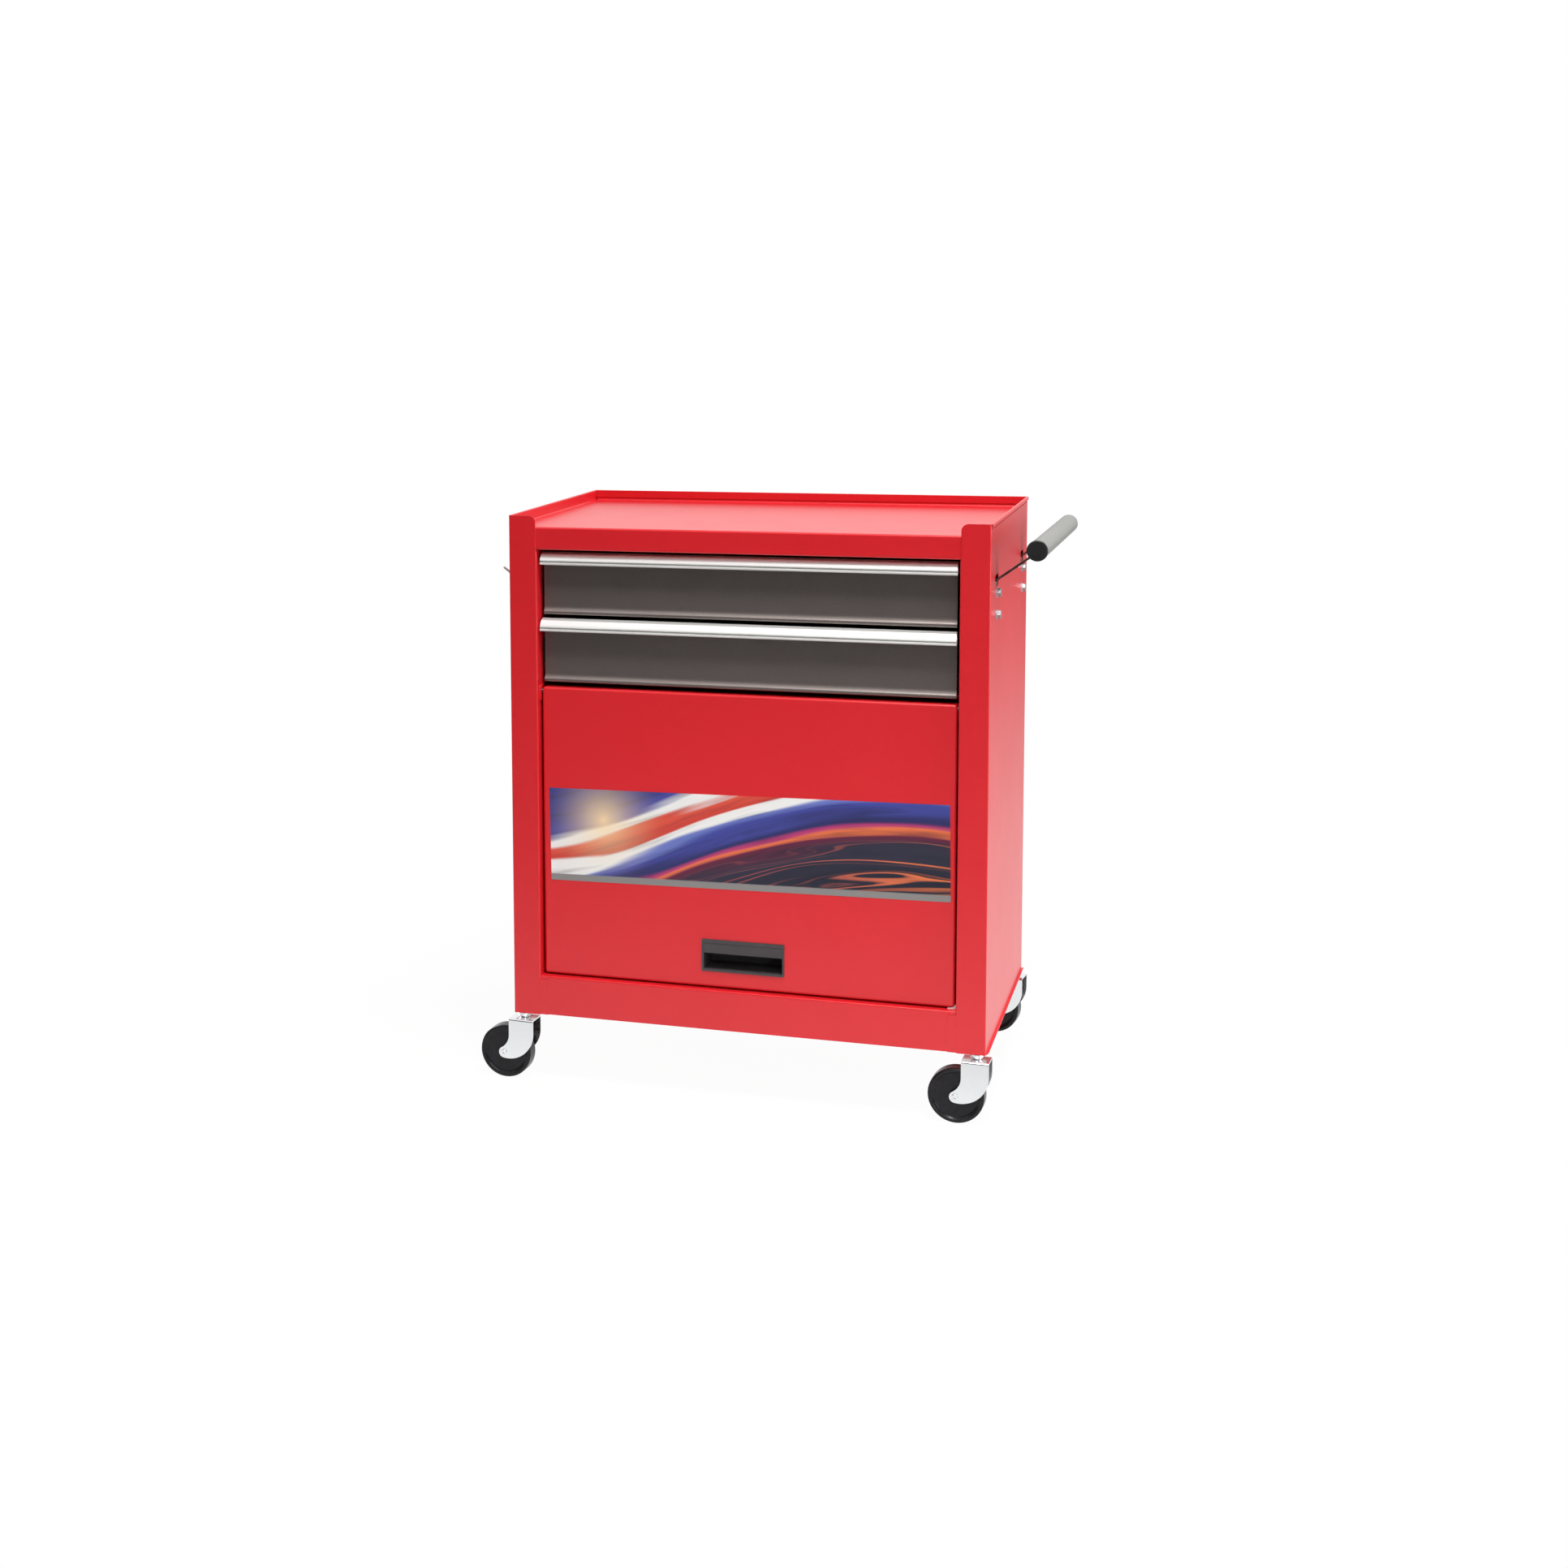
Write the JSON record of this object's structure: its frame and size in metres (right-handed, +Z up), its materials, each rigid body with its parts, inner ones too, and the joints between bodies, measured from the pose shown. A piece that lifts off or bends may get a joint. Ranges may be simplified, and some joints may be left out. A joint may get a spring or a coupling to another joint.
{
  "type": "tool cabinet",
  "caption": "Rolling sheet-metal tool cabinet with an open top tray, drawers with full-width pulls, a lift-up front door, a side push handle and swivel casters.",
  "frame": {"origin": "centre of the whole cabinet's box, at floor level", "axes": "+Z up, front faces -Y, push handle on the +X side"},
  "size_m": [0.7331, 0.4162, 0.7538],
  "materials": {
    "red_paint": "gloss",
    "drawer_grey": "speckled",
    "pull_silver": "satin",
    "slide_steel": "plain",
    "zinc": "bright zinc",
    "dark_steel": "plain",
    "grip_grey": "satin",
    "black_plastic": "satin",
    "wheel_black": "moulded",
    "white_nylon": "plain",
    "label_print": "printed sheet"
  },
  "bodies": {
    "cabinet": {"back_panel": "red_paint", "bottom_pan": "red_paint", "caster_plates": "zinc", "caster_stems": "zinc", "divider_rail": "red_paint", "door_bumper": "white_nylon", "drawer_1_outer_rail_left": "slide_steel", "drawer_1_outer_rail_right": "slide_steel", "drawer_2_outer_rail_left": "slide_steel", "drawer_2_outer_rail_right": "slide_steel", "front_rail": "red_paint", "grip_caps": "black_plastic", "handle_arm_front": "dark_steel", "handle_arm_rear": "dark_steel", "handle_bolts": "zinc", "handle_grip": "grip_grey", "handle_nuts": "zinc", "handle_tube": "zinc", "hinge_bracket_left": "dark_steel", "hinge_bracket_right": "dark_steel", "hook_bolts": "zinc", "panel_rivets": "zinc", "rear_upright_left": "red_paint", "rear_upright_right": "red_paint", "side_hook": "zinc", "side_panel_left": "red_paint", "side_panel_right": "red_paint", "stem_nuts": "zinc", "top_tray": "red_paint"},
    "drawer_1": {"drawer_1_box": "drawer_grey", "drawer_1_front": "drawer_grey", "drawer_1_pull": "pull_silver", "drawer_1_inner_rail_left": "slide_steel", "drawer_1_inner_rail_right": "slide_steel"},
    "drawer_1_cages": {"drawer_1_cage_left": "slide_steel", "drawer_1_cage_right": "slide_steel"},
    "drawer_2": {"drawer_2_box": "drawer_grey", "drawer_2_front": "drawer_grey", "drawer_2_pull": "pull_silver", "drawer_2_inner_rail_left": "slide_steel", "drawer_2_inner_rail_right": "slide_steel"},
    "drawer_2_cages": {"drawer_2_cage_left": "slide_steel", "drawer_2_cage_right": "slide_steel"},
    "door": {"door_panel": "red_paint", "door_pull": "black_plastic", "door_label": "label_print", "door_pins": "dark_steel"},
    "caster_front_left": {"caster_front_left_fork": "zinc", "caster_front_left_axle": "zinc"},
    "wheel_front_left": {"caster_front_left_wheel": "wheel_black"},
    "caster_front_right": {"caster_front_right_fork": "zinc", "caster_front_right_axle": "zinc"},
    "wheel_front_right": {"caster_front_right_wheel": "wheel_black"},
    "caster_rear_left": {"caster_rear_left_fork": "zinc", "caster_rear_left_axle": "zinc"},
    "wheel_rear_left": {"caster_rear_left_wheel": "wheel_black"},
    "caster_rear_right": {"caster_rear_right_fork": "zinc", "caster_rear_right_axle": "zinc"},
    "wheel_rear_right": {"caster_rear_right_wheel": "wheel_black"}
  },
  "joints": [
    {"name": "drawer_1_slide", "type": "slide", "parent": "cabinet", "child": "drawer_1", "axis": [0, -1, 0], "range_m": [0, 0.23]},
    {"name": "drawer_1_cage_slide", "type": "slide", "parent": "cabinet", "child": "drawer_1_cages", "axis": [0, -1, 0], "range_m": [0, 0.115]},
    {"name": "drawer_2_slide", "type": "slide", "parent": "cabinet", "child": "drawer_2", "axis": [0, -1, 0], "range_m": [0, 0.23]},
    {"name": "drawer_2_cage_slide", "type": "slide", "parent": "cabinet", "child": "drawer_2_cages", "axis": [0, -1, 0], "range_m": [0, 0.115]},
    {"name": "door_lift", "type": "hinge", "parent": "cabinet", "child": "door", "pos_m": [-0.00964, -0.18527, 0.5226], "axis": [-1, 0, 0], "range_deg": [0, 90]},
    {"name": "swivel_front_left", "type": "hinge", "parent": "cabinet", "child": "caster_front_left", "pos_m": [-0.30634, -0.19196, 0.0827], "axis": [0, 0, 1], "continuous": true},
    {"name": "roll_front_left", "type": "hinge", "parent": "caster_front_left", "child": "wheel_front_left", "pos_m": [-0.33068, -0.19026, 0.0354], "axis": [0.0698, 0.9976, 0], "continuous": true},
    {"name": "swivel_front_right", "type": "hinge", "parent": "cabinet", "child": "caster_front_right", "pos_m": [0.28706, -0.19196, 0.0827], "axis": [0, 0, 1], "continuous": true},
    {"name": "roll_front_right", "type": "hinge", "parent": "caster_front_right", "child": "wheel_front_right", "pos_m": [0.26267, -0.19111, 0.0354], "axis": [0.0349, 0.9994, 0], "continuous": true},
    {"name": "swivel_rear_left", "type": "hinge", "parent": "cabinet", "child": "caster_rear_left", "pos_m": [-0.30634, 0.18843, 0.0827], "axis": [0, 0, 1], "continuous": true},
    {"name": "roll_rear_left", "type": "hinge", "parent": "caster_rear_left", "child": "wheel_rear_left", "pos_m": [-0.33068, 0.19014, 0.0354], "axis": [0.0698, 0.9976, 0], "continuous": true},
    {"name": "swivel_rear_right", "type": "hinge", "parent": "cabinet", "child": "caster_rear_right", "pos_m": [0.28706, 0.18843, 0.0827], "axis": [0, 0, 1], "continuous": true},
    {"name": "roll_rear_right", "type": "hinge", "parent": "caster_rear_right", "child": "wheel_rear_right", "pos_m": [0.26284, 0.19141, 0.0354], "axis": [0.1219, 0.9925, 0], "continuous": true}
  ],
  "couplings": [
    {"joint": "drawer_1_cage_slide", "follows": "drawer_1_slide", "ratio": 0.5},
    {"joint": "drawer_2_cage_slide", "follows": "drawer_2_slide", "ratio": 0.5}
  ]
}
